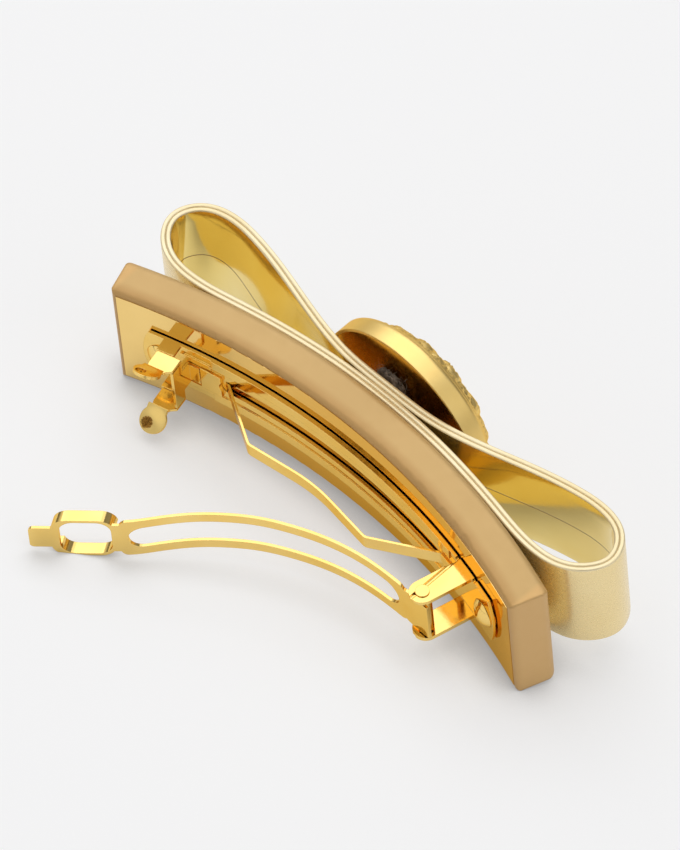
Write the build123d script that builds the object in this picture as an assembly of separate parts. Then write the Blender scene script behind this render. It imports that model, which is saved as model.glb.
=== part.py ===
"""Bow hair barrette: a curved bar, a two-ply bow with a medallion, and a sprung clasp for the hair.

The frame: X runs along the bar from the catch end to the hinge end, +Y points to the bow side, and Z
runs across the bar's width. The origin is the centre of the bar's lower side face. Lengths are in
millimetres.
"""

from build123d import *
import math
import os

# bar
bar_width = 22.0
bar_thickness = 6.7
hair_radius = 126.0
bar_half_angle = 20.0
facing_depth = 0.3
facing_thickness = 0.4
facing_margin = 0.9
hair_edge_round = 0.8
bow_edge_round = 1.4
bow_facing_margin = 1.5

# bow
bow_width = 18.4
bow_rise = 0.6
bow_gap = 0.15
ply = 0.8
bow_tip_x = 8.8

# medallion
disc_radius = 15.9
disc_depth = 3.6
disc_back_y = 11.65
disc_rise = 0.3
shell_wall = 0.5
back_inset = 0.35
back_thickness = 0.8
shell_front_round = 1.0
relief_radius = 14.5
relief_base = 0.5
relief_bevel = 0.3
relief_limit = 4.0
outer_petals = 12
outer_petal = {"length": 8.4, "radius": 2.1, "distance": 9.6}
inner_petals = 8
inner_petal = {"length": 5.6, "radius": 2.6, "distance": 5.6}
boss_radius = 4.25
boss_height = 4.6
boss_gap = 0.05
boss_crown = [(0.0, 2.3), (0.65, 1.1), (2.0, 0.3)]
pad_width = 7.0
pad_length = 20.4
pad_offset = -1.3
pad_round = 1.2
stud_radius = 1.6
stud_grip = 0.5
washer_radius = 3.2
washer_thickness = 0.6
washer_gap = 0.1

# barrette back
plate_width = 10.0
plate_standoff = 0.2
plate_thickness = 0.52
plate_half_length = 37.3
plate_end_bulge = 1.1
hem_width = 1.9
hem_height = 0.2
hem_half_length = 26.0
foot_radius = 2.3
slot_width = 2.9
slot_half_length = 24.4
bridge_place = 25.9
bridge_length = 3.6
bridge_width = 4.8
bridge_height = 0.6
pocket_half_length = 27.8
bead_place = -28.8
bead_offset = 3.15
bead_length = 5.6
bead_width = 1.0
bead_height = 0.3
notch_radius = 0.35
plate_root = 0.1
rivet_place = 35.6
rivet_head_radius = 2.4
rivet_head_height = 1.3
rivet_shank_radius = 1.1
rivet_shank_length = 4.0
rivet_end_gap = 0.2
fit_gap = 0.02

# hinge
pin_place = 30.37
pin_height = 8.1
pin_radius = 0.7
pin_bore_gap = 0.06
pin_head_radius = 1.1
pin_head_height = 0.2
ear_radius = 2.1
ear_thickness = 0.7

# clasp arm, in its own axes: u from the pin to the tip, v towards the bar
arm_direction = 210.7
arm_thickness = 0.5
arm_half_width = 4.2
arm_slot_half_width = 2.43
tongue_half_width = 3.9
tongue_tail = 2.2
knuckle_radius = 1.3
arm_curve = [
    (2.5, 0.35),
    (9.8, 4.45),
    (16.5, 6.85),
    (22.9, 8.0),
    (28.0, 8.3),
    (33.0, 7.85),
    (38.3, 6.7),
    (44.0, 4.55),
    (48.5, 3.1),
]
arm_tip = (61.9, 0.42)
arm_slot_start = 4.2
arm_slot_end = 47.1
loop_start = 48.9
loop_end = 58.6
loop_half_width = 4.45
loop_wall_height = 2.0
loop_near_rim = 0.6
loop_far_rim = 1.3
tip_half_width = 2.35
arm_shoulder = 2.9
arm_neck_reach = 1.2
arm_neck_size = (3.0, 6.6)
shoulder_round = 1.2
tongue_round = 1.8
loop_round = 2.6
loop_hole_round = 2.3
tip_round = 0.8

# tension strip
strip_width = 2.5
strip_thickness = 0.4
strip_tab_place = 27.3
strip_bend_place = 23.6
strip_knee = (12.6, 8.75)
strip_middle_height = 7.05
strip_gap = 0.05
strip_end_bend = 0.8
strip_knee_bend = 1.4
strip_middle_bend = 30.0
strip_pocket_gap = 0.4

# catch
catch_thickness = 0.5
catch_inner = 4.6
web_place = -30.1
web_low = 3.15
web_high = 5.6
leg_back = -34.4
leg_root_back = 0.25
wing_place = -33.2
wing_height = 8.5
wing_radius = 2.2
wing_flare = 35.0
wing_hole_radius = 0.85
wing_hole_offset = 0.75
wing_neck = 6.2
leg_stem_width = 3.4
leg_step = 0.9
leg_chamfer = 0.2
wing_shoulder = 0.4
catch_ear_length = 3.0
catch_ear_gap = 0.15
catch_post_half_width = 2.4
catch_foot_length = 2.2
catch_foot_inset = 0.5
catch_foot_heel = 0.4
web_gap = 0.2

mid_z = bar_width / 2
face_y = -bar_thickness / 2
centre_y = face_y - hair_radius
bow_face_radius = hair_radius + bar_thickness

# heights over the bar's hair side
facing_top = facing_thickness - facing_depth
plate_rest = facing_top + plate_standoff
plate_top = plate_rest + plate_thickness

# places along Y, counted from the hair side at mid-length
bow_back = bar_thickness + 4 * ply + 2 * bow_gap
back_plate_low = disc_back_y + back_inset
back_plate_high = back_plate_low + back_thickness
disc_front = disc_back_y + disc_depth
stud_top = back_plate_high + stud_grip

# how far a cutting or joining shape runs past what it meets
past = 1.0
well_past = 3 * bar_thickness


def turn(s):
    """The angle, in degrees, of the bar's normal at a distance s along the hair side."""
    return math.degrees(s / hair_radius)


def at(s, height, z=mid_z):
    """The point at distance s along the hair side, raised by height towards the hair."""
    angle = math.radians(turn(s))
    reach = hair_radius - height
    return Vector(reach * math.sin(angle), centre_y + reach * math.cos(angle), z)


def along(s):
    """The direction along the bar at s."""
    angle = math.radians(turn(s))
    return Vector(math.cos(angle), -math.sin(angle), 0)


def outward(s):
    """The direction from the bar's hair side to the hair at s."""
    angle = math.radians(turn(s))
    return Vector(-math.sin(angle), -math.cos(angle), 0)


def face_plane(s, height=0.0):
    """A plane on the hair side at s: x along the bar, y up, normal to the hair."""
    return Plane(origin=at(s, height), x_dir=along(s), z_dir=outward(s))


def side_plane(s, z=mid_z):
    """A plane across the bar at s: x along the bar, y to the hair, normal down."""
    return Plane(origin=at(s, 0.0, z), x_dir=along(s), z_dir=(0, 0, -1))


def bar_layer(low, high, half_angle, z_low, z_high):
    """A slice of the bar between two radii about the centre of its curve."""
    a = math.radians(half_angle)

    def place(radius, angle):
        return (radius * math.sin(angle), centre_y + radius * math.cos(angle))

    inner = ThreePointArc(place(low, -a), place(low, 0), place(low, a))
    outer = ThreePointArc(place(high, -a), place(high, 0), place(high, a))
    ends = [Line(place(low, -a), place(high, -a)), Line(place(low, a), place(high, a))]
    section = make_face(Wire([inner, outer, *ends]))
    return Pos(0, 0, z_low) * extrude(section, z_high - z_low, dir=(0, 0, 1))


def prism(sketch_face, plane, low, high):
    """A face drawn in a plane's own axes, raised from low to high along its normal."""
    placed = plane.offset(low) * sketch_face
    return extrude(placed, high - low, dir=plane.z_dir)


# ---------------------------------------------------------------- bar


def rivet_holes(radius, depth):
    holes = []
    for s in (-rivet_place, rivet_place):
        holes.append(prism(Circle(radius), face_plane(s), -depth, past))
    return holes


def stud_hole(radius, low, high):
    """A hole along Y through the middle of the bar, from low to high."""
    return Pos(0, low, mid_z + disc_rise) * extrude(
        Plane.XZ * Circle(radius), high - low, dir=(0, 1, 0)
    )


def facing_half_angle():
    return bar_half_angle - math.degrees(facing_margin / hair_radius)


def bow_facing_half_angle():
    return bar_half_angle - math.degrees(bow_facing_margin / hair_radius)


def distance_from_curve_centre(edge):
    middle = edge @ 0.5
    return math.hypot(middle.X, middle.Y - centre_y)


def is_lengthwise(edge):
    return edge.geom_type == GeomType.CIRCLE


def is_upright(edge):
    return not is_lengthwise(edge) and abs((edge % 0.5).Z) > 0.9


def rounded_bar():
    core = bar_layer(hair_radius, bow_face_radius, bar_half_angle, 0, bar_width)
    middle = hair_radius + bar_thickness / 2
    edges = [e for e in core.edges() if is_lengthwise(e) or is_upright(e)]
    core = fillet([e for e in edges if distance_from_curve_centre(e) > middle], bow_edge_round)
    edges = [e for e in core.edges() if is_lengthwise(e) or is_upright(e)]
    hair_edges = [e for e in edges if distance_from_curve_centre(e) < hair_radius + 0.01]
    return fillet(hair_edges, hair_edge_round)


def make_bar_core():
    core = rounded_bar()
    margin = facing_margin
    low, high = hair_radius - past, hair_radius + facing_depth
    core -= bar_layer(low, high, facing_half_angle(), margin, bar_width - margin)
    margin = bow_facing_margin
    low, high = bow_face_radius - facing_depth, bow_face_radius + past
    core -= bar_layer(low, high, bow_facing_half_angle(), margin, bar_width - margin)
    for hole in rivet_holes(rivet_shank_radius + fit_gap, rivet_shank_length):
        core -= hole
    core -= stud_hole(stud_radius + fit_gap, face_y - past, bar_thickness)
    counterbore = facing_depth + washer_thickness + washer_gap
    return core - stud_hole(washer_radius + washer_gap, face_y - past, face_y + counterbore)


def make_underside_facing():
    half = facing_half_angle() - math.degrees(fit_gap / hair_radius)
    margin = facing_margin + fit_gap
    low = hair_radius - facing_top
    facing = bar_layer(low, hair_radius + facing_depth, half, margin, bar_width - margin)
    for hole in rivet_holes(rivet_shank_radius + fit_gap, past):
        facing -= hole
    return facing


def make_bow_side_facing():
    margin = bow_facing_margin + fit_gap
    half = bow_facing_half_angle() - math.degrees(fit_gap / hair_radius)
    low = bow_face_radius - facing_depth + fit_gap
    facing = bar_layer(low, bow_face_radius, half, margin, bar_width - margin)
    return facing - stud_hole(stud_radius + fit_gap, 0, bar_thickness)


# ---------------------------------------------------------------- bow


def bar_back_y(x):
    """The bar's bow side at x."""
    return centre_y + math.sqrt(bow_face_radius**2 - x**2)


def bow_outline():
    """The right half of the bow's outer outline, from the bar's back round the loop to the medallion."""
    lying = [(x, bar_back_y(x) + bow_gap) for x in (0.0, 14.0, 28.0)]
    loop = [
        (37.0, 2.55),
        (44.2, 4.2),
        (47.8, 9.9),
        (45.4, 14.4),
        (40.0, 16.3),
        (34.6, 16.0),
        (26.2, 14.2),
        (17.0, 11.7),
        (9.5, 10.3),
        (0.0, 10.05),
    ]
    return Spline(*lying, *[(x, y + face_y) for x, y in loop], tangents=[(1, 0), (-1, 0)])


def inset(edge, distance, start=0.0, stop=1.0, count=40):
    """Points beside an edge, moved to its left by distance."""
    points = []
    for i in range(count + 1):
        t = start + (stop - start) * i / count
        way = edge % t
        spot = edge @ t
        points.append((spot.X - distance * way.Y, spot.Y + distance * way.X))
    return points


def mirrored(points):
    return [(-x, y) for x, y in reversed(points)]


def closed_face(right_half):
    right = Spline(*right_half)
    left = Spline(*mirrored(right_half))
    return make_face(Wire([right, left]))


def loop_opening():
    """The space inside the right loop, which starts where the two runs part."""
    outline = bow_outline()
    points = [p for p in inset(outline, 2 * ply, count=60) if p[0] > bow_tip_x]
    return make_face(Wire([Spline(*points), Line(points[-1], points[0])]))


def raised(section):
    low = mid_z + bow_rise - bow_width / 2
    return Pos(0, 0, low) * extrude(section, bow_width, dir=(0, 0, 1))


def make_bow():
    outline = bow_outline()
    outer = raised(closed_face(inset(outline, 0.0)))
    between = raised(closed_face(inset(outline, ply)))
    opening = raised(loop_opening())
    openings = [opening, mirror(opening, Plane.YZ)]
    hole = stud_hole(stud_radius + fit_gap, 0, well_past)
    outer_ply = outer - between - hole
    inner_ply = between - openings[0] - openings[1] - hole
    return outer_ply, inner_ply


# ---------------------------------------------------------------- medallion


def turned(profile):
    """A closed profile of (radius, y) points, turned about the medallion's axis."""
    points = [(r, y + face_y) for r, y in profile]
    face = make_face(Polyline(*points, close=True))
    solid = revolve(face, Axis.Y)
    return Pos(0, 0, mid_z + disc_rise) * solid


def make_medallion_disc():
    inner = disc_radius - shell_wall
    shell = turned(
        [
            (0, back_plate_high),
            (inner, back_plate_high),
            (inner, disc_back_y),
            (disc_radius, disc_back_y),
            (disc_radius, disc_front),
            (0, disc_front),
        ]
    )
    edges = shell.edges().group_by(Axis.Y)
    shell = fillet(edges[-1], shell_front_round)
    return shell - stud_hole(stud_radius + fit_gap, 0, stud_top + face_y)


def make_medallion_back():
    radius = disc_radius - shell_wall - fit_gap
    low, high = back_plate_low, back_plate_high
    plate = turned([(0, low), (radius, low), (radius, high), (0, high)])
    return plate - stud_hole(stud_radius + fit_gap, 0, well_past)


def petal(turned_by, length, radius, distance):
    """One petal: a spindle lying on the disc's front, with its axis pointing outwards."""
    arc = ThreePointArc((-length / 2, 0), (0, radius), (length / 2, 0))
    spindle = revolve(make_face(Wire([arc, Line(arc @ 1, arc @ 0)])), Axis.X)
    place = Pos(0, disc_front + face_y, mid_z + disc_rise)
    return place * Rot(0, turned_by, 0) * Pos(distance, 0, 0) * spindle


def make_medallion_rosette():
    low = disc_front
    base = low + relief_base
    high = low + relief_limit
    bore = boss_radius + boss_gap
    rim = relief_radius
    rosette = turned([(bore, low), (rim, low), (rim - relief_bevel, base), (bore, base)])
    petals = [petal(i * 360 / outer_petals, **outer_petal) for i in range(outer_petals)]
    petals += [petal((i + 0.5) * 360 / inner_petals, **inner_petal) for i in range(inner_petals)]
    for one in petals:
        rosette += one
    return rosette & turned([(bore, low), (rim, low), (rim, high), (bore, high)])


def make_medallion_boss():
    """The boss in the rosette's middle, with a stepped crown."""
    low = disc_front
    top = low + boss_height
    crown = [(boss_radius - inward, top - down) for inward, down in boss_crown]
    return turned([(0, low), (boss_radius, low), *crown, (0, top)])


def make_medallion_pad():
    face = Pos(pad_offset, 0) * Rectangle(pad_width, pad_length)
    origin = (0, bow_back + face_y, mid_z + disc_rise)
    plane = Plane(origin=origin, x_dir=(1, 0, 0), z_dir=(0, 1, 0))
    pad = prism(face, plane, fit_gap, back_plate_low - bow_back)
    pad = fillet(pad.edges().filter_by(Axis.Y), pad_round)
    return pad - stud_hole(stud_radius + fit_gap, 0, well_past)


def make_stud():
    low = facing_depth
    return turned([(0, low), (stud_radius, low), (stud_radius, stud_top), (0, stud_top)])


def make_stud_washer():
    low = facing_depth + washer_gap / 2
    high = low + washer_thickness
    bore = stud_radius + fit_gap
    return turned([(bore, low), (washer_radius, low), (washer_radius, high), (bore, high)])


# ---------------------------------------------------------------- barrette back


def plan_cut(face, low_height, high_height):
    """A face drawn as (x, z) about the bar's middle, cut straight along Y."""
    plane = Plane(origin=(0, face_y, mid_z), x_dir=(1, 0, 0), z_dir=(0, -1, 0))
    return prism(face, plane, low_height, high_height)


def x_at(s, height=0.0):
    return at(s, height).X


def plate_outline():
    end = x_at(plate_half_length)
    bulge = end + plate_end_bulge
    half = plate_width / 2
    lines = [
        Line((-end, half), (end, half)),
        ThreePointArc((end, half), (bulge, 0), (end, -half)),
        Line((end, -half), (-end, -half)),
        ThreePointArc((-end, -half), (-bulge, 0), (-end, half)),
    ]
    return make_face(Wire(lines))


def arched(face, low, high):
    """A face drawn as (x, z), kept where it meets the layer from low to high over the hair side."""
    layer = bar_layer(hair_radius - high, hair_radius - low, bar_half_angle, 0, bar_width)
    return layer & plan_cut(face, -past, well_past)


def plate_sheet():
    """The plate with its hemmed sides, the two feet under the rivets and the pressed beads and bridges."""
    plate = arched(plate_outline(), plate_rest, plate_top)
    half = plate_width / 2
    hem_length = 2 * x_at(hem_half_length)
    for side in (-1, 1):
        hem = Pos(0, side * (half - hem_width / 2)) * Rectangle(hem_length, hem_width)
        plate += arched(hem, plate_rest, plate_top + hem_height)
        bead = Pos(x_at(bead_place), side * bead_offset) * SlotOverall(bead_length, bead_width)
        plate += arched(bead, plate_rest, plate_top + bead_height)
        foot = Pos(side * x_at(rivet_place), 0) * Circle(foot_radius)
        plate += arched(foot, facing_top, plate_rest + plate_root)
        bridge = Pos(side * x_at(bridge_place), 0) * Rectangle(bridge_length, bridge_width)
        plate += arched(bridge, plate_rest, plate_top + bridge_height)
    return plate


def make_base_plate():
    plate = plate_sheet()
    plate -= arched(SlotOverall(2 * x_at(slot_half_length), slot_width), -past, plate_top + past)
    pocket = Rectangle(2 * x_at(pocket_half_length), strip_width + strip_pocket_gap)
    plate -= arched(pocket, -past, plate_rest + strip_thickness + 2 * strip_gap)
    plate += hinge_ears(plate_rest + plate_root)
    plate += catch_ears(plate_rest + plate_root)
    for hole in rivet_holes(rivet_shank_radius + fit_gap, past):
        plate -= hole
    reach = ear_radius + notch_radius
    for side in (-1, 1):
        for s in (pin_place - reach, pin_place + reach):
            notch = Pos(x_at(s), side * plate_width / 2) * Circle(notch_radius)
            plate -= plan_cut(notch, -past, well_past)
    return plate


def on_both_sides(face, plane, low, high):
    """A face raised from low to high along its normal, and again the same way on the far side."""
    return prism(face, plane, low, high) + prism(face, plane, -high, -low)


def hinge_ears(rest):
    outline = Pos(0, (pin_height + rest) / 2) * Rectangle(2 * ear_radius, pin_height - rest)
    outline += Pos(0, pin_height) * Circle(ear_radius)
    outline -= Pos(0, pin_height) * Circle(pin_radius + fit_gap)
    outer = plate_width / 2
    return on_both_sides(outline, side_plane(pin_place), outer - ear_thickness, outer)


def catch_ears(rest):
    high = web_low - catch_ear_gap
    outline = Pos(0, (rest + high) / 2) * Rectangle(catch_ear_length, high - rest)
    inner = catch_inner - web_gap / 2
    return on_both_sides(outline, side_plane(wing_place), inner, inner + catch_thickness)


def rivet_profile(base):
    """Half of a rivet's section, as (radius, height), with a domed head that starts at base."""
    dome_radius = (rivet_head_radius**2 + rivet_head_height**2) / (2 * rivet_head_height)
    top = base + rivet_head_height
    half_turn = math.asin(rivet_head_radius / dome_radius) / 2
    drop = dome_radius * (1 - math.cos(half_turn))
    middle = (dome_radius * math.sin(half_turn), top - drop)
    head = ThreePointArc((0, top), middle, (rivet_head_radius, base))
    end = rivet_end_gap - rivet_shank_length
    shank = rivet_shank_radius
    rest = Polyline((rivet_head_radius, base), (shank, base), (shank, end), (0, end), (0, top))
    return make_face(Wire([head, *rest.edges()]))


def make_rivets():
    rivet = revolve(Plane.XZ * rivet_profile(plate_top + 2 * fit_gap), Axis.Z)
    return Compound(children=[face_plane(s) * rivet for s in (-rivet_place, rivet_place)])


def make_hinge_pin():
    reach = plate_width / 2 + fit_gap
    plane = side_plane(pin_place)
    place = Pos(0, pin_height)
    pin = prism(place * Circle(pin_radius), plane, -reach - pin_head_height, reach + pin_head_height)
    pin += prism(place * Circle(pin_head_radius), plane, reach, reach + pin_head_height)
    pin += prism(place * Circle(pin_head_radius), plane, -reach - pin_head_height, -reach)
    return pin


def make_tension_strip():
    """A flat spring: tabs under the two bridges, and a shallow bow with two knees between them."""
    tab = plate_rest + strip_gap + strip_thickness / 2
    knee_x, knee_height = strip_knee
    start = at(-strip_tab_place, tab)
    bend = at(-strip_bend_place, tab)
    left = [(start.X, start.Y), (bend.X, bend.Y), (-knee_x, face_y - knee_height)]
    middle = (0, face_y - strip_middle_height)
    right = [(-x, y) for x, y in reversed(left)]
    bends = [strip_end_bend, strip_knee_bend, strip_middle_bend, strip_knee_bend, strip_end_bend]
    path = FilletPolyline(*left, middle, *right, radius=bends)
    plane = Plane(origin=(start.X, start.Y, mid_z), x_dir=(0, 0, 1), z_dir=path % 0)
    return sweep(plane * Rectangle(strip_width, strip_thickness), Pos(0, 0, mid_z) * path)


# ---------------------------------------------------------------- clasp arm


def arm_axes():
    angle = math.radians(arm_direction)
    u = Vector(math.cos(angle), math.sin(angle), 0)
    v = Vector(math.cos(angle - math.pi / 2), math.sin(angle - math.pi / 2), 0)
    return u, v


def pin_point():
    return at(pin_place, pin_height)


def arm_side_plane():
    u, _ = arm_axes()
    return Plane(origin=pin_point(), x_dir=u, z_dir=(0, 0, -1))


def arm_face_plane():
    u, v = arm_axes()
    return Plane(origin=pin_point(), x_dir=u, z_dir=v)


def thick(edge, thickness, count=24):
    """A band of even thickness along an edge, as a face."""
    left = Spline(*inset(edge, thickness / 2, count=count))
    right = Spline(*inset(edge, -thickness / 2, count=count))
    return make_face(Wire([left, Line(left @ 1, right @ 1), right, Line(right @ 0, left @ 0)]))


def straight_band(a, b, low, high):
    """A straight band from a to b, from low to high beside the line between them."""
    way = (b - a).normalized()
    up = Vector(-way.Y, way.X)
    return make_face(Polyline(a + up * low, b + up * low, b + up * high, a + up * high, close=True))


def arm_sheet(half_width):
    """The arm's bowed sheet, from the tail behind the pin to the tip, before its outline is cut."""
    grip = knuckle_radius - arm_thickness / 2
    first = Vector(*arm_curve[0])
    last = Vector(*arm_curve[-1])
    tip = Vector(*arm_tip)
    reach = math.hypot(first.X, first.Y)
    lean = math.atan2(first.Y, first.X) + math.asin(grip / reach)
    slope = Vector(math.cos(lean), math.sin(lean))
    touch = Vector(grip * math.sin(lean), -grip * math.cos(lean))
    half = arm_thickness / 2
    bowed = Spline(*arm_curve, tangents=[slope, (tip - last).normalized()])
    section = thick(bowed, arm_thickness)
    section += straight_band(touch - slope * tongue_tail, first, -half, half)
    section += straight_band(last, tip, -half, half)
    return prism(section, arm_side_plane(), -half_width, half_width)


def block(start, end, half_width, corner):
    """A rectangle from start to end along the arm, with rounded corners."""
    face = Pos((start + end) / 2, 0) * Rectangle(end - start, 2 * half_width)
    return fillet(face.vertices(), corner)


def arm_outline():
    """The arm's outline seen square on: hinge tongue, slotted rails, loop and tip."""
    neck = arm_slot_end + arm_neck_reach
    outline = block(arm_shoulder, neck, arm_half_width, shoulder_round)
    outline += block(-tongue_tail - past, arm_shoulder + past, tongue_half_width, tongue_round)
    outline += Pos(neck, 0) * Rectangle(*arm_neck_size)
    outline += block(loop_start, loop_end, loop_half_width, loop_round)
    outline += block(loop_end - past, arm_tip[0], tip_half_width, tip_round)
    length = arm_slot_end - arm_slot_start
    slot = SlotOverall(length, 2 * arm_slot_half_width)
    return outline - Pos(arm_slot_start + length / 2, 0) * slot


def loop_hole():
    half_width = loop_half_width - arm_thickness
    return block(loop_start + loop_near_rim, loop_end - loop_far_rim, half_width, loop_hole_round)


def through_arm(face):
    """A face drawn as the arm is seen square on, raised through its whole bow."""
    return prism(face, arm_face_plane(), -well_past, well_past)


def loop_walls():
    """The loop's two side walls, which are folded towards the bar."""
    ring = block(loop_start, loop_end, loop_half_width, loop_round) - loop_hole()
    length = loop_end - loop_start
    ring -= Pos(loop_start + length / 2, 0) * Rectangle(2 * length, loop_half_width)
    low = -arm_thickness / 2
    band = straight_band(Vector(*arm_curve[-1]), Vector(*arm_tip), low, low + loop_wall_height)
    return prism(band, arm_side_plane(), -plate_width, plate_width) & through_arm(ring)


def make_clasp_arm():
    arm = arm_sheet(loop_half_width + past) & through_arm(arm_outline())
    arm += loop_walls()
    arm -= through_arm(loop_hole())
    plane = arm_side_plane()
    arm += prism(Circle(knuckle_radius), plane, -tongue_half_width, tongue_half_width)
    return arm - prism(Circle(pin_radius + pin_bore_gap), plane, -plate_width, plate_width)


# ---------------------------------------------------------------- catch


def make_catch_frame():
    rest = plate_top + 2 * fit_gap
    plane = side_plane(web_place)
    thickness = catch_thickness
    foot = Rectangle(catch_foot_length, thickness)
    foot = Pos(catch_foot_length / 2 - catch_foot_heel, rest + thickness / 2) * foot
    post = Pos(-thickness / 2, (rest + web_high) / 2) * Rectangle(thickness, web_high - rest)
    web = Pos(-thickness / 2, (web_low + web_high) / 2) * Rectangle(thickness, web_high - web_low)
    foot_half = catch_post_half_width - catch_foot_inset
    web_half = catch_inner - web_gap
    frame = prism(foot, plane, -foot_half, foot_half)
    frame += prism(post, plane, -catch_post_half_width, catch_post_half_width)
    return frame + prism(web, plane, -web_half, web_half)


def wing_plane(side):
    """The plane of a wing, which leans outwards from the top of its leg: x along the bar, y up the wing."""
    lean = math.radians(wing_flare)
    rise = outward(wing_place) * math.cos(lean) + Vector(0, 0, side) * math.sin(lean)
    origin = at(wing_place, wing_neck, mid_z + side * (catch_inner + catch_thickness / 2))
    return Plane(origin=origin, x_dir=along(wing_place), z_dir=along(wing_place).cross(rise))


def make_wing(side):
    reach = wing_height - wing_neck
    blade = Pos(0, reach) * Circle(wing_radius)
    blade += Pos(0, reach / 2) * Rectangle(leg_stem_width, reach)
    blade -= Pos(-wing_hole_offset, reach + wing_hole_offset) * Circle(wing_hole_radius)
    return prism(blade, wing_plane(side), -catch_thickness / 2, catch_thickness / 2)


def make_catch_leg(side):
    """A leg beside the web, with its rounded root on the leg's axis, and the wing at its top."""
    back = leg_back - wing_place
    front = web_place - wing_place - leg_root_back
    top = wing_neck + leg_chamfer
    shape = Polyline(
        (back, web_low),
        (front, web_low),
        (front, web_high),
        (front - leg_step, wing_neck),
        (front - leg_step, top),
        (back + leg_chamfer, top),
        (back, wing_neck - wing_shoulder),
        close=True,
    )
    low = catch_inner if side < 0 else -catch_inner - catch_thickness
    leg = prism(make_face(shape), side_plane(wing_place), low, low + catch_thickness)
    root = Pos(0, side * (catch_inner + catch_thickness / 2)) * Circle(catch_thickness / 2)
    leg += prism(root, face_plane(web_place - leg_root_back), web_low, web_high)
    return leg + make_wing(side)


def export(shape, name):
    export_step(shape, os.path.join("parts", name + ".step"))


def main():
    os.makedirs("parts", exist_ok=True)
    outer_ply, inner_ply = make_bow()
    nodes = {
        "bar_core": make_bar_core(),
        "underside_facing": make_underside_facing(),
        "bow_side_facing": make_bow_side_facing(),
        "bow_outer_ply": outer_ply,
        "bow_inner_ply": inner_ply,
        "medallion_disc": make_medallion_disc(),
        "medallion_back": make_medallion_back(),
        "medallion_rosette": make_medallion_rosette(),
        "medallion_boss": make_medallion_boss(),
        "medallion_pad": make_medallion_pad(),
        "medallion_stud": make_stud(),
        "stud_washer": make_stud_washer(),
        "base_plate": make_base_plate(),
        "plate_rivets": make_rivets(),
        "hinge_pin": make_hinge_pin(),
        "tension_strip": make_tension_strip(),
        "clasp_arm": make_clasp_arm(),
        "catch_frame": make_catch_frame(),
        "catch_leg_upper": make_catch_leg(1),
        "catch_leg_lower": make_catch_leg(-1),
    }
    for name, shape in nodes.items():
        export(shape, name)
    pin = pin_point()
    print("hinge axis at", round(pin.X, 3), round(pin.Y, 3))
    root = at(web_place - leg_root_back, 0)
    way = outward(web_place - leg_root_back)
    print("leg axes at", round(root.X, 3), round(root.Y, 3))
    print("leg axes along", round(way.X, 4), round(way.Y, 4))


main()
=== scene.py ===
import math

import bpy
import numpy as np
from mathutils import Matrix, Vector


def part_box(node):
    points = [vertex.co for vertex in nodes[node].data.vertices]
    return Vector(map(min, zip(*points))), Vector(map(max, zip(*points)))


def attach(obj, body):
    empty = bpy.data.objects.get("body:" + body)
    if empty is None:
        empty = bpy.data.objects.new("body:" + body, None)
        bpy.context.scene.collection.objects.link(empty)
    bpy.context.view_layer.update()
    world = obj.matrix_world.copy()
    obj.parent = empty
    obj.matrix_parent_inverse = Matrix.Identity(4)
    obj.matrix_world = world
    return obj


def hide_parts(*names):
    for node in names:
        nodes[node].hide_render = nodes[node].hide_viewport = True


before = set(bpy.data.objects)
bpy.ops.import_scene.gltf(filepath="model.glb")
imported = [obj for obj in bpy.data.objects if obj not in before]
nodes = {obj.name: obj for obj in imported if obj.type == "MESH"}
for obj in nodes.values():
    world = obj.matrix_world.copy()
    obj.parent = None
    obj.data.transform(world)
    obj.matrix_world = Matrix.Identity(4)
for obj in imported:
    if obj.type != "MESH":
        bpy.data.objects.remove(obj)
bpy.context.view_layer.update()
scene = bpy.context.scene

# Lengths are in millimetres unless a comment says metres. MM turns them into Blender's metres.
MM = 0.001

# the camera: its lens, its clipping distances and place in metres, and its sideways and upward
# directions
CAMERA_LENS = 491.97
CAMERA_CLIP = (0.05, 20.0)
CAMERA_PLACE = (0.796187, -0.654213, 1.435730)
CAMERA_RIGHT = (0.69761624, 0.71354094, -0.06473722)
CAMERA_UP = (-0.55320125, 0.59385838, 0.58420938)

# the bar: its hair side's curve, and the bands of painted shade beside that side and at the ends
HAIR_RADIUS = 126.0
CURVE_CENTRE_Y = -129.35
EDGE_SHADE = (0.7, 2.6)
END_SHADE = (42.5, 43.7)

# the bow: the right half of its outer outline seen from above, as in the CAD, and its plies
BOW_RUN = [
    (0.0, 3.5), (14.0, 2.7608), (28.0, 0.5178),
    (37.0, -0.8), (44.2, 0.85), (47.8, 6.55), (45.4, 11.05), (40.0, 12.95), (34.6, 12.65),
    (26.2, 10.85), (17.0, 8.35), (9.5, 6.95), (0.0, 6.7),
]
BOW_STEPS = 260
PLY = 0.8
PLY_ROUNDING = 0.28
PLY_LEVELS = 9

# the lining's seam: its height, and how much that rises for each millimetre of X
SEAM_HEIGHT = 11.0
SEAM_TILT = 0.02

# the slack of the bow's left loop, whose far band leans in at its lower side
SLACK = 4.6
SLACK_X = -28.5
SLACK_WIDTH = 13.0
SLACK_Y = 5.0
SLACK_BLEND = 3.0

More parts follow.
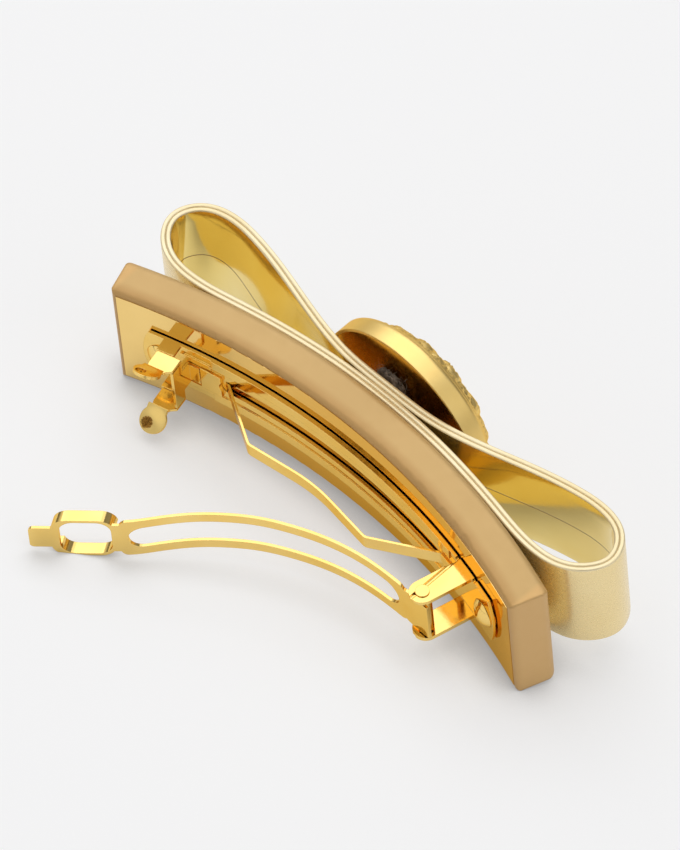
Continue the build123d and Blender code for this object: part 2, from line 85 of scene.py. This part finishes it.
# the medallion's relief: border, domed field, ring of beads, boss and the boss's button
RELIEF_RADIUS = 14.5
RELIEF_LIFT = 0.01
RELIEF_RINGS = 130
RELIEF_SPOKES = 480
BORDER_WIDTH = 0.45
BORDER_HEIGHT = 0.75
FIELD_RADIUS = 13.0
FIELD_CURVE = 13.9
FIELD_HEIGHT = 3.2
FIELD_RAYS = 48
RAY_HEIGHT = 0.03
BEADS = 44
BEAD_RING = 13.35
BEAD_RADIUS = 0.72
BEAD_HEIGHT = 0.55
BOSS_RADIUS = 4.2
BOSS_FOOT = 2.9
BOSS_HEIGHT = 1.65
SWIRLS = 12
SWIRL_HEIGHT = 0.13
SWIRL_TWIST = 2.2
SWIRL_START = 1.2
SWIRL_END = 4.0
SWIRL_FADE = 0.8
BUTTON_RADIUS = 1.25
BUTTON_FOOT = 4.35
BUTTON_HEIGHT = 0.22

# the rosette's rows of petals: how many, the first one's turn in steps between petals, how far
# out their middles are, the petals' length, width and height, and the step that they stand on
PETAL_ROWS = [
    {"count": 12, "first": 0.5, "reach": 9.9, "length": 6.4, "width": 4.6, "height": 0.75, "step": 0.0},
    {"count": 12, "first": 0.0, "reach": 8.6, "length": 8.8, "width": 5.4, "height": 1.15, "step": 0.0},
    {"count": 8, "first": 0.5, "reach": 5.9, "length": 6.4, "width": 4.6, "height": 1.35, "step": 0.45},
]

# every petal: the power of its outline, the depths of its cupped middle, vein and ribs as parts
# of its height, the ribs' waves across and along it, how steeply its ends rise, and the angle
# either side of its axis that it stays within
PETAL_POWER = 2.4
CUP_DEPTH = 0.16
VEIN_DEPTH = 0.10
VEIN_WIDTH = 0.10
RIB_DEPTH = 0.025
RIBS_ACROSS = 13
RIBS_ALONG = 4
PETAL_END = 3
PETAL_FAN = 1.2

# the crushed pad under the medallion: its lumpy core
PAD_INSET = 0.12
PAD_POWER = 3.6
PAD_FURROWS = 0.10
PAD_ROUGHNESS = 0.05
PAD_ROWS = 40
PAD_TURNS = 72

# the pad's loose fibres, which mostly lie across the pad's thin direction
FIBRES = 1500
FIBRE_FIELD = 0.93
FIBRE_SPREAD = (1.0, 0.35, 1.0)
FIBRE_LENGTH = 1.7
FIBRE_BEND = 0.35
FIBRE_SIDE = (0.3, 1.0, 0.2)
FIBRE_HALF_WIDTH = 0.045
FIBRE_TAPER = 0.6
FIBRE_SPOTS = (0.0, 0.33, 0.67, 1.0)

# the catch's upper wing: its middle, with Z from the bar's middle height, its directions up and
# along, the radius of its dish, and the crushed hole's middle and radius and its height over the
# wing's middle plane. The lower wing mirrors it.
MIDDLE_Z = 11.0
WING_MIDDLE = (-30.71, -15.50, 6.17)
WING_RISE = (0.2134, -0.7909, 0.5736)
WING_ALONG = (0.96549, 0.26045, 0.0)
WING_DISH = 2.3
WING_HOLE = (-0.75, 0.75)
WING_HOLE_RADIUS = 1.0
WING_FACE = 0.26
BURR_RINGS = 7
BURR_SPOKES = 36

# the floor: half its width in metres, its slope in degrees, a point on it, and how far from the
# object it darkens
FLOOR_HALF = 3.0
FLOOR_SLOPE = 12.6
FLOOR_POINT = (0.0, -10.85, -0.02)
FLOOR_SHADE_REACH = 7.0

# the tent: grey levels from the horizon (0) to straight up (1), and its darker upright panels
TENT = [(0.0, 0.42), (0.16, 0.48), (0.34, 1.0), (0.62, 0.85), (0.74, 0.6), (1.0, 0.65)]
PANELS = 3.0
PANEL_TURN = 0.6
PANEL_EDGE = (-0.55, -0.15)
PANEL_LEVEL = 0.30

# two tones of gold plating
PLATED = ((0.92, 0.67, 0.235), (0.89, 0.61, 0.185))


# ---------------------------------------------------------------- camera


def make_camera():
    """A long lens that looks from above the hair side."""
    data = bpy.data.cameras.new("camera")
    data.lens = CAMERA_LENS
    data.sensor_width = 36.0
    data.clip_start = CAMERA_CLIP[0]
    data.clip_end = CAMERA_CLIP[1]
    camera = bpy.data.objects.new("camera", data)
    right = Vector(CAMERA_RIGHT)
    up = Vector(CAMERA_UP)
    turn = Matrix((right, up, right.cross(up))).transposed().to_4x4()
    camera.matrix_world = Matrix.Translation(CAMERA_PLACE) @ turn
    scene.collection.objects.link(camera)
    scene.camera = camera


# ---------------------------------------------------------------- shader helpers


class Graph:
    """A node tree under construction, with shorthands. In a material, coordinates are in metres."""

    def __init__(self, owner, shader="Principled BSDF", coordinates="Object"):
        owner.use_nodes = True
        self.tree = owner.node_tree
        self.shader = self.tree.nodes[shader]
        self.place = self.node("ShaderNodeTexCoord").outputs[coordinates]

    def node(self, kind, **values):
        made = self.tree.nodes.new(kind)
        for key, value in values.items():
            setattr(made, key, value)
        return made

    def fill(self, socket, value):
        """Give an input a plain value, or link an output to it."""
        if isinstance(value, bpy.types.NodeSocket):
            self.tree.links.new(value, socket)
        else:
            socket.default_value = value

    def set(self, **values):
        """Fill the shader's inputs, whose names have underscores for spaces here."""
        for key, value in values.items():
            self.fill(self.shader.inputs[key.replace("_", " ")], value)

    def axis(self, index):
        """One of the coordinates."""
        split = self.node("ShaderNodeSeparateXYZ")
        self.fill(split.inputs["Vector"], self.place)
        return split.outputs[index]

    def noise(self, scale, detail):
        made = self.node("ShaderNodeTexNoise")
        made.inputs["Scale"].default_value = scale
        made.inputs["Detail"].default_value = detail
        self.fill(made.inputs["Vector"], self.place)
        return made.outputs["Fac"]

    def pebbles(self, scale):
        made = self.node("ShaderNodeTexVoronoi")
        made.inputs["Scale"].default_value = scale
        self.fill(made.inputs["Vector"], self.place)
        return made.outputs["Distance"]

    def ramp(self, value, stops):
        """A value turned into a colour, by stops of a position and a colour."""
        made = self.node("ShaderNodeValToRGB")
        ramp = made.color_ramp
        while len(ramp.elements) < len(stops):
            ramp.elements.new(0.5)
        for element, (position, color) in zip(ramp.elements, stops):
            element.position = position
            element.color = (*color, 1.0)
        self.fill(made.inputs["Fac"], value)
        return made.outputs["Color"]

    def mottled(self, scale, detail, deep, color):
        """Two close tones in soft patches."""
        return self.ramp(self.noise(scale, detail), [(0.3, deep), (0.7, color)])

    def spread(self, scale, detail, low, high):
        """A noise's middle half, spread from low to high."""
        made = self.node("ShaderNodeMapRange")
        limits = {"From Min": 0.25, "From Max": 0.75, "To Min": low, "To Max": high}
        for key, limit in limits.items():
            made.inputs[key].default_value = limit
        self.fill(made.inputs["Value"], self.noise(scale, detail))
        return made.outputs["Result"]

    def mapped(self, value, low, high, to_low=0.0, to_high=1.0):
        """A value, taken from low to high, spread smoothly from to_low to to_high."""
        made = self.node("ShaderNodeMapRange", interpolation_type="SMOOTHSTEP")
        limits = {"From Min": low, "From Max": high, "To Min": to_low, "To Max": to_high}
        for key, limit in limits.items():
            made.inputs[key].default_value = limit
        self.fill(made.inputs["Value"], value)
        return made.outputs["Result"]

    def math(self, operation, *values):
        made = self.node("ShaderNodeMath", operation=operation)
        for socket, value in zip(made.inputs, values):
            self.fill(socket, value)
        return made.outputs["Value"]

    def mixed(self, factor, a, b):
        """Two colours mixed by factor; each is an output or a plain colour."""
        made = self.node("ShaderNodeMix", data_type="RGBA")
        self.fill(made.inputs[0], factor)
        for socket, value in ((made.inputs[6], a), (made.inputs[7], b)):
            self.fill(socket, (*value, 1.0) if isinstance(value, tuple) else value)
        return made.outputs[2]

    def bump(self, height, strength, distance, normal=None):
        made = self.node("ShaderNodeBump")
        made.inputs["Strength"].default_value = strength
        made.inputs["Distance"].default_value = distance
        self.fill(made.inputs["Height"], height)
        if normal is not None:
            self.fill(made.inputs["Normal"], normal)
        return made.outputs["Normal"]

    def edge_round(self, radius):
        made = self.node("ShaderNodeBevel")
        made.samples = 4
        made.inputs["Radius"].default_value = radius
        return made.outputs["Normal"]


# ---------------------------------------------------------------- materials


def polish(g, color, deep, roughness=(0.07, 0.16), grain=0.012, edge=0.12, ripple=0.05):
    """Make a graph's shader plated metal with warm patches, fine marks and soft edges. Gives its normal."""
    g.set(Base_Color=g.mottled(160, 2.0, deep, color))
    g.set(Metallic=1.0, Specular_Tint=(0.94, 0.70, 0.36, 1))
    g.set(Roughness=g.spread(900, 4.0, *roughness))
    normal = g.edge_round(edge * MM) if edge else None
    fine = g.bump(g.noise(2600, 2.0), grain, 0.1 * MM, normal)
    wave = g.bump(g.noise(90, 1.0), ripple, 1.0 * MM, fine)
    g.set(Normal=wave)
    return wave


def polished(name, color, deep, **values):
    material = bpy.data.materials.new(name)
    polish(Graph(material), color, deep, **values)
    return material


def paint_wing(name, side):
    """Plated metal that is dished round the middle of the upper (1) or lower (-1) wing."""
    material = bpy.data.materials.new(name)
    g = Graph(material)
    normal = polish(g, *PLATED)
    away = g.node("ShaderNodeVectorMath", operation="DISTANCE")
    g.fill(away.inputs[0], g.place)
    away.inputs[1].default_value = Vector(wing_frame(side)[0]) * MM
    dish = g.mapped(away.outputs["Value"], 0.0, WING_DISH * MM)
    g.set(Normal=g.bump(dish, 0.3, 0.6 * MM, normal))
    return material


def paint_mirror():
    """The hair side's mirror foil, with painted shade: a deeper, redder gold towards the hinge end and on its
    lower side, for the shaded floor and gold that it mirrors there.
    """
    material = bpy.data.materials.new("mirror_gold")
    g = Graph(material)
    pale = g.mottled(120, 2.0, (0.90, 0.66, 0.27), (0.93, 0.69, 0.29))
    # painted shade: how much deeper and redder the foil is painted, along it and on its lower side, eased off
    # near the hinge end
    along = g.math("MULTIPLY", g.mapped(g.axis(0), -34 * MM, 4 * MM), 0.60)
    low_side_shade_along = g.math("MULTIPLY", g.mapped(g.axis(0), -38 * MM, -20 * MM), 0.95)
    low_side = g.mapped(g.axis(2), 15 * MM, 8 * MM)
    depth = g.math("MAXIMUM", along, g.math("MULTIPLY", low_side_shade_along, low_side))
    shade_fade = g.mapped(g.axis(0), 20 * MM, 37 * MM, 1.0, 0.35)
    # the deep red gold of the painted shade
    g.set(Base_Color=g.mixed(g.math("MULTIPLY", depth, shade_fade), pale, (0.80, 0.46, 0.115)))
    g.set(Metallic=1.0, Specular_Tint=(0.92, 0.64, 0.30, 1))
    g.set(Roughness=g.spread(900, 4.0, 0.04, 0.08))
    g.set(Normal=g.bump(g.noise(90, 1.0), 0.02, 1.0 * MM))
    return material


def from_curve_centre(g):
    """The distance, in millimetres, from the axis of the bar's curve."""
    x = g.math("MULTIPLY", g.axis(0), 1 / MM)
    y = g.math("SUBTRACT", g.math("MULTIPLY", g.axis(1), 1 / MM), CURVE_CENTRE_Y)
    return g.math("SQRT", g.math("ADD", g.math("MULTIPLY", x, x), g.math("MULTIPLY", y, y)))


def paint_bar():
    """Satin lacquer with a fine grain, with painted shade: darker beside the hair side's edge and warmer at
    the ends.
    """
    material = bpy.data.materials.new("satin_lacquer")
    g = Graph(material)
    tone = g.mottled(60, 2.0, (0.575, 0.370, 0.140), (0.615, 0.400, 0.155))
    # painted shade: darker beside the hair side's edge, for the rounded edge turning from the light
    off_shaded_edge = g.mapped(from_curve_centre(g), HAIR_RADIUS + EDGE_SHADE[0], HAIR_RADIUS + EDGE_SHADE[1])
    tone = g.mixed(off_shaded_edge, (0.50, 0.290, 0.095), tone)
    # painted shade: a warmer colour at the ends
    at_shaded_end = g.mapped(g.math("ABSOLUTE", g.axis(0)), END_SHADE[0] * MM, END_SHADE[1] * MM)
    g.set(Base_Color=g.mixed(at_shaded_end, tone, (0.66, 0.405, 0.150)))
    g.set(Metallic=0.30, Roughness=g.spread(700, 4.0, 0.40, 0.50))
    g.set(Normal=g.bump(g.noise(4200, 3.0), 0.05, 0.1 * MM, g.edge_round(0.7 * MM)))
    return material


def paint_leather(name, color, deep, roughness, seam=False, metallic=0.92, grain=0.02):
    """Metallic-foiled leather: a fine pebbled grain under a glossy film."""
    material = bpy.data.materials.new(name)
    g = Graph(material)
    tone = g.mottled(120, 2.0, deep, color)
    normal = g.bump(g.pebbles(2300), grain, 0.04 * MM)
    normal = g.bump(g.noise(260, 2.0), grain, 0.3 * MM, normal)
    normal = g.bump(g.noise(45, 1.0), 0.12, 2.0 * MM, normal)
    if seam:
        level = g.math("ADD", g.math("MULTIPLY", g.axis(0), SEAM_TILT), SEAM_HEIGHT * MM)
        away = g.math("ABSOLUTE", g.math("SUBTRACT", g.axis(2), level))
        off_line = g.mapped(away, 0.04 * MM, 0.11 * MM)
        tone = g.mixed(off_line, (0.20, 0.11, 0.03), tone)
        normal = g.bump(off_line, 0.5, 0.1 * MM, normal)
    g.set(Base_Color=tone, Metallic=metallic, Normal=normal)
    g.set(Roughness=g.spread(1100, 4.0, *roughness))
    return material


def paint_pad():
    """Coarse felt, with dark roots between paler fibres."""
    material = bpy.data.materials.new("fibre_pad")
    g = Graph(material)
    g.set(Base_Color=g.mottled(900, 6.0, (0.09, 0.06, 0.04), (0.42, 0.33, 0.25)), Roughness=0.9)
    g.set(Normal=g.bump(g.noise(1800, 6.0), 0.8, 0.4 * MM))
    return material


def wear(node, material):
    """Give a CAD node one material."""
    mesh = nodes[node].data
    mesh.materials.clear()
    mesh.materials.append(material)


# ---------------------------------------------------------------- mesh helpers


def make_piece(name, points, faces, materials, replaced, which=None, body="bar"):
    """A smooth mesh piece on a body, in millimetres, which stands for the replaced nodes."""
    mesh = bpy.data.meshes.new(name)
    mesh.from_pydata([tuple(p) for p in np.asarray(points) * MM], [], faces)
    for material in materials:
        mesh.materials.append(material)
    if which is not None:
        mesh.polygons.foreach_set("material_index", which)
    mesh.polygons.foreach_set("use_smooth", [True] * len(mesh.polygons))
    mesh.update()
    piece = bpy.data.objects.new(name, mesh)
    scene.collection.objects.link(piece)
    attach(piece, body)
    if replaced:
        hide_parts(*replaced)
    return piece


def ring_faces(rings, spokes, first=0, closed=False):
    """Quads between rings of points, from the point first on. A closed run joins its ends."""
    faces = []
    for i in range(rings if closed else rings - 1):
        a = first + i * spokes
        b = first + (i + 1) % rings * spokes
        for j in range(spokes):
            k = (j + 1) % spokes
            faces.append((a + j, a + k, b + k, b + j))
    return faces


def disc_faces(rings, spokes, turned=False):
    """A fan round point 0 and the quads between the rings after it. A turned disc faces the other way."""
    faces = [(0, 1 + (j + 1) % spokes, 1 + j) for j in range(spokes)]
    faces += ring_faces(rings, spokes, first=1)
    return [(face[0], *face[:0:-1]) for face in faces] if turned else faces


# ---------------------------------------------------------------- the bow


def clamped_spline(points, start, end, count):
    """Points and unit directions along a cubic spline through points, with the given end directions."""
    p = np.array(points, float)
    t = np.r_[0, np.cumsum(np.hypot(*np.diff(p, axis=0).T))]
    h = np.diff(t)
    n = len(p)
    a = np.zeros((n, n))
    b = np.zeros((n, 2))
    a[0, 0] = a[-1, -1] = 1
    b[0], b[-1] = start, end
    for i in range(1, n - 1):
        a[i, i - 1], a[i, i], a[i, i + 1] = h[i], 2 * (h[i - 1] + h[i]), h[i - 1]
        b[i] = 3 * (h[i] * (p[i] - p[i - 1]) / h[i - 1] + h[i - 1] * (p[i + 1] - p[i]) / h[i])
    slope = np.linalg.solve(a, b)
    spots, ways = [], []
    for value in np.linspace(0, t[-1], count):
        i = min(np.searchsorted(t, value, side="right") - 1, n - 2)
        u = (value - t[i]) / h[i]
        spot = (
            (2 * u**3 - 3 * u**2 + 1) * p[i]
            + (u**3 - 2 * u**2 + u) * h[i] * slope[i]
            + (3 * u**2 - 2 * u**3) * p[i + 1]
            + (u**3 - u**2) * h[i] * slope[i + 1]
        )
        way = (
            (6 * u**2 - 6 * u) * (p[i] - p[i + 1]) / h[i]
            + (3 * u**2 - 4 * u + 1) * slope[i]
            + (3 * u**2 - 2 * u) * slope[i + 1]
        )
        spots.append(spot)
        ways.append(way / np.hypot(*way))
    return np.array(spots), np.array(ways)


def bow_line():
    """The bow's closed outer outline seen from above, and its inward normals."""
    spots, ways = clamped_spline(BOW_RUN, (1.0, 0.0), (-1.0, 0.0), BOW_STEPS)
    inward = np.c_[-ways[:, 1], ways[:, 0]]
    flip = np.array([-1.0, 1.0])
    spots = np.r_[spots[:-1], (spots * flip)[::-1][:-1]]
    inward = np.r_[inward[:-1], (inward * flip)[::-1][:-1]]
    return spots, inward


def rim_turn(side, top):
    """Section points round a ply's lower rim, from its inner face (1), or its upper rim, back to it (-1)."""
    flat = PLY / 2 - PLY_ROUNDING
    points = []
    for angle in np.radians(np.linspace(0, 180, PLY_LEVELS))[1:-1]:
        across = flat * math.copysign(1, math.cos(angle)) + PLY_ROUNDING * math.cos(angle)
        points.append((side * across, -side * (top + PLY_ROUNDING * math.sin(angle)), 1))
    return points


def ply_section(height):
    """A ply's section: across, up and whether it is on the rounded rim. It starts on the inner face's top."""
    top = height / 2 - PLY_ROUNDING
    levels = np.linspace(top, -top, PLY_LEVELS)
    inner = [(PLY / 2, level, 0) for level in levels]
    outer = [(-PLY / 2, level, 0) for level in levels[::-1]]
    return inner + rim_turn(1, top) + outer + rim_turn(-1, top)


def lean(x, y, z, low, high):
    """How far, along Y, the bow's slack far band leans towards the bar at its lower side."""
    down = (high - z) / (high - low)
    along = math.exp(-(((x - SLACK_X) / SLACK_WIDTH) ** 2))
    far = min(1.0, max(0.0, (y - SLACK_Y) / SLACK_BLEND))
    return -SLACK * down * along * far


def make_ply(node, depth, face, rim):
    """One ply of the bow, swept round the outline with rounded, painted rims."""
    low, high = (corner.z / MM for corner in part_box(node))
    middle = (low + high) / 2
    section = ply_section(high - low)
    spots, inward = bow_line()
    points = []
    for spot, side in zip(spots, inward):
        for across, up, _ in section:
            x, y = spot + side * (depth + across)
            z = middle + up
            points.append((x, y + lean(x, y, z, low, high), z))
    faces = ring_faces(len(spots), len(section), closed=True)
    following = section[1:] + section[:1]
    which = [max(here[2], there[2]) for here, there in zip(section, following)] * len(spots)
    return make_piece(node + "_leather", points, faces, [face, rim], [node], which)


# ---------------------------------------------------------------- the medallion


def dome(away, radius):
    """A dome's height, from 1 in the middle to 0 at its radius and beyond."""
    return np.sqrt(np.clip(1 - (away / radius) ** 2, 0, 1))


def petal_height(r, theta, turn, reach, length, width, height):
    """Heights over one cupped petal with a vein and ribs, which points outwards at the angle turn."""
    delta = (theta - turn + math.pi) % (2 * math.pi) - math.pi
    u = (r * np.cos(delta) - reach) / (length / 2)
    inside = np.clip(1 - np.abs(u) ** PETAL_POWER, 0, 1)
    half = width / 2 * np.sqrt(inside) + 1e-6
    v = r * np.sin(delta) / half
    cup = 1 - CUP_DEPTH * (1 - np.abs(v)) ** 2
    vein = 1 - VEIN_DEPTH * np.exp(-((v / VEIN_WIDTH) ** 2))
    ribs = 1 + RIB_DEPTH * np.cos(RIBS_ACROSS * v + RIBS_ALONG * u)
    rise = height * np.clip(inside * PETAL_END, 0, 1) ** 0.5
    on = (np.abs(delta) < PETAL_FAN) & (np.abs(u) < 1) & (np.abs(v) < 1)
    return np.where(on, rise * dome(v, 1) * cup * vein * ribs, 0.0)


def petal_row(r, theta, count, first, step, **petal):
    """The greatest height over a ring of equal petals, each on its step, and 0 between them."""
    row = np.zeros_like(r)
    for i in range(count):
        turn = 2 * math.pi * (i + first) / count
        row = np.maximum(row, petal_height(r, theta, turn, **petal))
    return row + step * (row > 0)


def relief_height(r, theta):
    """The rosette's height over the medallion's front."""
    border = BORDER_HEIGHT * np.clip((RELIEF_RADIUS - r) / BORDER_WIDTH, 0, 1) ** 0.5
    field = FIELD_HEIGHT * dome(r, FIELD_CURVE) + RAY_HEIGHT * np.cos(FIELD_RAYS * theta)
    h = np.where(r < FIELD_RADIUS, field, border)
    bead_turn = (theta * BEADS / (2 * math.pi) + 0.5) % 1 - 0.5
    away = np.hypot(r - BEAD_RING, bead_turn * 2 * math.pi * BEAD_RING / BEADS)
    bead = BORDER_HEIGHT + BEAD_HEIGHT * dome(away, BEAD_RADIUS)
    h = np.maximum(h, bead * (away < BEAD_RADIUS))
    petals = np.max([petal_row(r, theta, **row) for row in PETAL_ROWS], axis=0)
    h = np.where(r < FIELD_RADIUS, h + petals, h)
    swirl = SWIRL_HEIGHT * np.cos(SWIRLS * theta + SWIRL_TWIST * r)
    swirl = swirl * np.clip(r / SWIRL_START, 0, 1) * np.clip((SWIRL_END - r) / SWIRL_FADE, 0, 1)
    boss = BOSS_FOOT + BOSS_HEIGHT * dome(r, BOSS_RADIUS) + swirl
    button = BUTTON_FOOT + BUTTON_HEIGHT * dome(r, BUTTON_RADIUS)
    h = np.maximum(h, np.where(r < BOSS_RADIUS, boss, 0.0))
    return np.maximum(h, np.where(r < BUTTON_RADIUS, button, 0.0))


def make_relief(material):
    """The rosette and its boss as one chased relief on the medallion's front."""
    low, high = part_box("medallion_rosette")
    base = low.y / MM
    middle_x = (low.x + high.x) / 2 / MM
    middle_z = (low.z + high.z) / 2 / MM
    radii = np.linspace(RELIEF_RADIUS / RELIEF_RINGS, RELIEF_RADIUS, RELIEF_RINGS)
    turns = np.arange(RELIEF_SPOKES) * 2 * math.pi / RELIEF_SPOKES
    r, theta = np.meshgrid(radii, turns, indexing="ij")
    x = middle_x + r * np.cos(theta)
    y = base + relief_height(r, theta) + RELIEF_LIFT
    z = middle_z + r * np.sin(theta)
    crest = base + relief_height(np.zeros(1), np.zeros(1))[0]
    points = [(middle_x, crest, middle_z), *zip(x.ravel(), y.ravel(), z.ravel())]
    faces = disc_faces(RELIEF_RINGS, RELIEF_SPOKES)
    replaced = ["medallion_rosette", "medallion_boss"]
    return make_piece("medallion_relief", points, faces, [material], replaced)


def pad_core(random, middle, half):
    """The points of a lumpy, squarish ball, in rings from the bottom up."""
    points = []
    for i in range(PAD_ROWS + 1):
        lat = -math.pi / 2 + math.pi * i / PAD_ROWS
        for j in range(PAD_TURNS):
            lon = 2 * math.pi * j / PAD_TURNS
            way = np.array([math.cos(lat) * math.cos(lon), math.cos(lat) * math.sin(lon), math.sin(lat)])
            size = (np.abs(way) ** PAD_POWER).sum() ** (-1 / PAD_POWER)
            furrow = PAD_FURROWS * abs(math.sin(5 * lon + 3 * lat) * math.cos(7 * lat))
            lump = 1 - furrow - PAD_ROUGHNESS * random.random()
            points.append(middle + way * size * lump * half)
    return points


def pad_fibre(random, middle, half):
    """Pairs of points along a loose fibre: a bent, tapering ribbon that stays in the pad's box."""
    start = middle + (random.random(3) * 2 - 1) * half * FIBRE_FIELD
    way = random.normal(size=3) * FIBRE_SPREAD
    way /= np.linalg.norm(way)
    bend = random.normal(size=3) * FIBRE_BEND
    across = np.cross(way, FIBRE_SIDE) * FIBRE_HALF_WIDTH
    points = []
    for t in FIBRE_SPOTS:
        spot = start + way * t * FIBRE_LENGTH + bend * t * t
        spot = np.clip(spot, middle - half, middle + half)
        side = across * (1 - FIBRE_TAPER * t)
        points += [spot - side, spot + side]
    return points


def make_pad(material):
    """The crushed fibre pad between the bow and the medallion: a lumpy core and loose fibres."""
    low, high = (np.array(corner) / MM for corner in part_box("medallion_pad"))
    middle = (low + high) / 2
    half = (high - low) / 2 - PAD_INSET
    random = np.random.default_rng(7)
    points = pad_core(random, middle, half)
    faces = ring_faces(PAD_ROWS + 1, PAD_TURNS)
    for _ in range(FIBRES):
        ribbon = pad_fibre(random, middle, half)
        for a in range(len(points), len(points) + len(ribbon) - 2, 2):
            faces.append((a, a + 1, a + 3, a + 2))
        points += ribbon
    pad = make_piece("medallion_felt", points, faces, [material], ["medallion_pad"])
    return pad


# ---------------------------------------------------------------- the catch


def wing_frame(side):
    """The wing's middle and its axes along, up and through it, for the upper (1) or lower (-1) wing."""
    flip = np.array([1.0, 1.0, side])
    middle = np.array(WING_MIDDLE) * flip + (0, 0, MIDDLE_Z)
    rise = np.array(WING_RISE) * flip
    along = np.array(WING_ALONG)
    return middle, along, rise, np.cross(along, rise)


def make_burr(name, side, body, material, rough):
    """The crushed metal that closes the hole in a wing, uneven by rough. With a near-black material it also
    stands for the hole's painted shade.
    """
    random = np.random.default_rng(11)
    middle, along, rise, through = wing_frame(side)
    middle = middle + along * WING_HOLE[0] + rise * WING_HOLE[1] + through * side * WING_FACE
    points = [middle]
    for i in range(1, BURR_RINGS + 1):
        for j in range(BURR_SPOKES):
            reach = WING_HOLE_RADIUS * i / BURR_RINGS
            angle = 2 * math.pi * j / BURR_SPOKES
            out = rough * (random.random() - 0.5) * (i < BURR_RINGS)
            spoke = along * math.cos(angle) + rise * math.sin(angle)
            points.append(middle + spoke * reach + through * out)
    faces = disc_faces(BURR_RINGS, BURR_SPOKES, turned=True)
    make_piece(name, points, faces, [material], [], body=body)


# ---------------------------------------------------------------- stage and light


def make_stage():
    """A pale floor that slopes about as the object leans, within half a millimetre of its lowest points."""
    mesh = bpy.data.meshes.new("floor")
    corners = [(-1, -1), (1, -1), (1, 1), (-1, 1)]
    mesh.from_pydata([(x * FLOOR_HALF, y * FLOOR_HALF, 0) for x, y in corners], [], [(0, 1, 2, 3)])
    floor = bpy.data.objects.new("floor", mesh)
    slope = Matrix.Rotation(math.radians(-FLOOR_SLOPE), 4, "X")
    floor.matrix_world = Matrix.Translation(Vector(FLOOR_POINT) * MM) @ slope
    scene.collection.objects.link(floor)
    material = bpy.data.materials.new("pale_floor")
    g = Graph(material)
    near = g.node("ShaderNodeAmbientOcclusion")
    near.samples = 8
    near.inputs["Distance"].default_value = FLOOR_SHADE_REACH * MM
    shade = g.mapped(near.outputs["AO"], 0.20, 1.0, 0.52, 1.0)
    g.set(Base_Color=g.ramp(shade, [(0.0, (0.0, 0.0, 0.0)), (1.0, (0.40, 0.40, 0.405))]))
    g.set(Emission_Color=(0.53, 0.53, 0.53, 1), Emission_Strength=shade)
    g.set(Roughness=0.8, Specular_IOR_Level=0.1)
    mesh.materials.append(material)


def make_tent():
    """A white tent with darker panels, which the polished metal mirrors."""
    world = bpy.data.worlds.new("studio")
    scene.world = world
    g = Graph(world, "Background", "Generated")
    height = g.ramp(g.axis(2), [(position, (level, level, level)) for position, level in TENT])
    turn = g.math("ARCTAN2", g.axis(1), g.axis(0))
    wave = g.math("SINE", g.math("MULTIPLY_ADD", turn, PANELS, PANEL_TURN))
    panel = g.mapped(wave, *PANEL_EDGE, PANEL_LEVEL, 1.0)
    g.set(Color=(1, 1, 1, 1), Strength=g.math("MULTIPLY", height, panel))


def make_softbox(name, place, size, radiance):
    """A square light, in metres, aimed at the origin. Its radiance is what a mirror facing it would show."""
    data = bpy.data.lights.new(name, "AREA")
    data.shape = "SQUARE"
    data.size = size
    data.energy = radiance * math.pi * size**2
    lamp = bpy.data.objects.new(name, data)
    turn = (-Vector(place)).to_track_quat("-Z", "Y").to_matrix().to_4x4()
    lamp.matrix_world = Matrix.Translation(place) @ turn
    scene.collection.objects.link(lamp)


# ---------------------------------------------------------------- the scene


def main():
    make_camera()
    make_stage()
    make_tent()
    make_softbox("top", place=(-0.35, 0.35, 1.15), size=1.7, radiance=1.12)
    plated = polished("plated_gold", *PLATED)
    # near-black plated metal for the lower wing's burr: its darkness is painted shade of the hole, its coarse
    # grain the crushed metal
    crushed = polished(
        "crushed_gold_painted_shade", (0.55, 0.27, 0.05), (0.03, 0.012, 0.004), roughness=(0.2, 0.4), grain=0.5, edge=0
    )
    cast = polished(
        "cast_gold", (0.90, 0.66, 0.25), (0.88, 0.62, 0.21),
        roughness=(0.36, 0.42), grain=0.004, edge=0.2, ripple=0.03,
    )
    back = polished(
        "back_gold", (0.80, 0.48, 0.13), (0.70, 0.38, 0.08), roughness=(0.10, 0.18), grain=0.006
    )
    outer = paint_leather(
        "champagne_leather", (0.90, 0.73, 0.39), (0.87, 0.69, 0.35), (0.24, 0.30), metallic=0.8, grain=0.006
    )
    rim = paint_leather(
        "painted_edge", (0.88, 0.76, 0.50), (0.84, 0.69, 0.40), (0.28, 0.36), metallic=0.45
    )
    lining = paint_leather(
        "gold_lining", (0.93, 0.74, 0.27), (0.90, 0.69, 0.22), (0.08, 0.13), seam=True, grain=0.06
    )
    finish = {
        "bar_core": paint_bar(),
        "underside_facing": paint_mirror(),
        "bow_side_facing": outer,
        "bow_outer_ply": outer,
        "bow_inner_ply": lining,
        "medallion_disc": cast,
        "medallion_back": back,
        "medallion_rosette": cast,
        "medallion_boss": cast,
        "catch_leg_upper": paint_wing("plated_wing_upper", 1),
        "catch_leg_lower": paint_wing("plated_wing_lower", -1),
    }
    for name in nodes:
        wear(name, finish.get(name, plated))
    make_ply("bow_outer_ply", PLY / 2, outer, rim)
    make_ply("bow_inner_ply", 1.5 * PLY, lining, rim)
    make_relief(cast)
    make_burr("catch_burr_upper", 1, "catch_leg_upper", plated, rough=0.02)
    # the lower burr wears the near-black metal, as painted shade of the hole
    make_burr("catch_burr_lower", -1, "catch_leg_lower", crushed, rough=0.3)
    make_pad(paint_pad())
    scene.view_settings.view_transform = "Standard"


main()
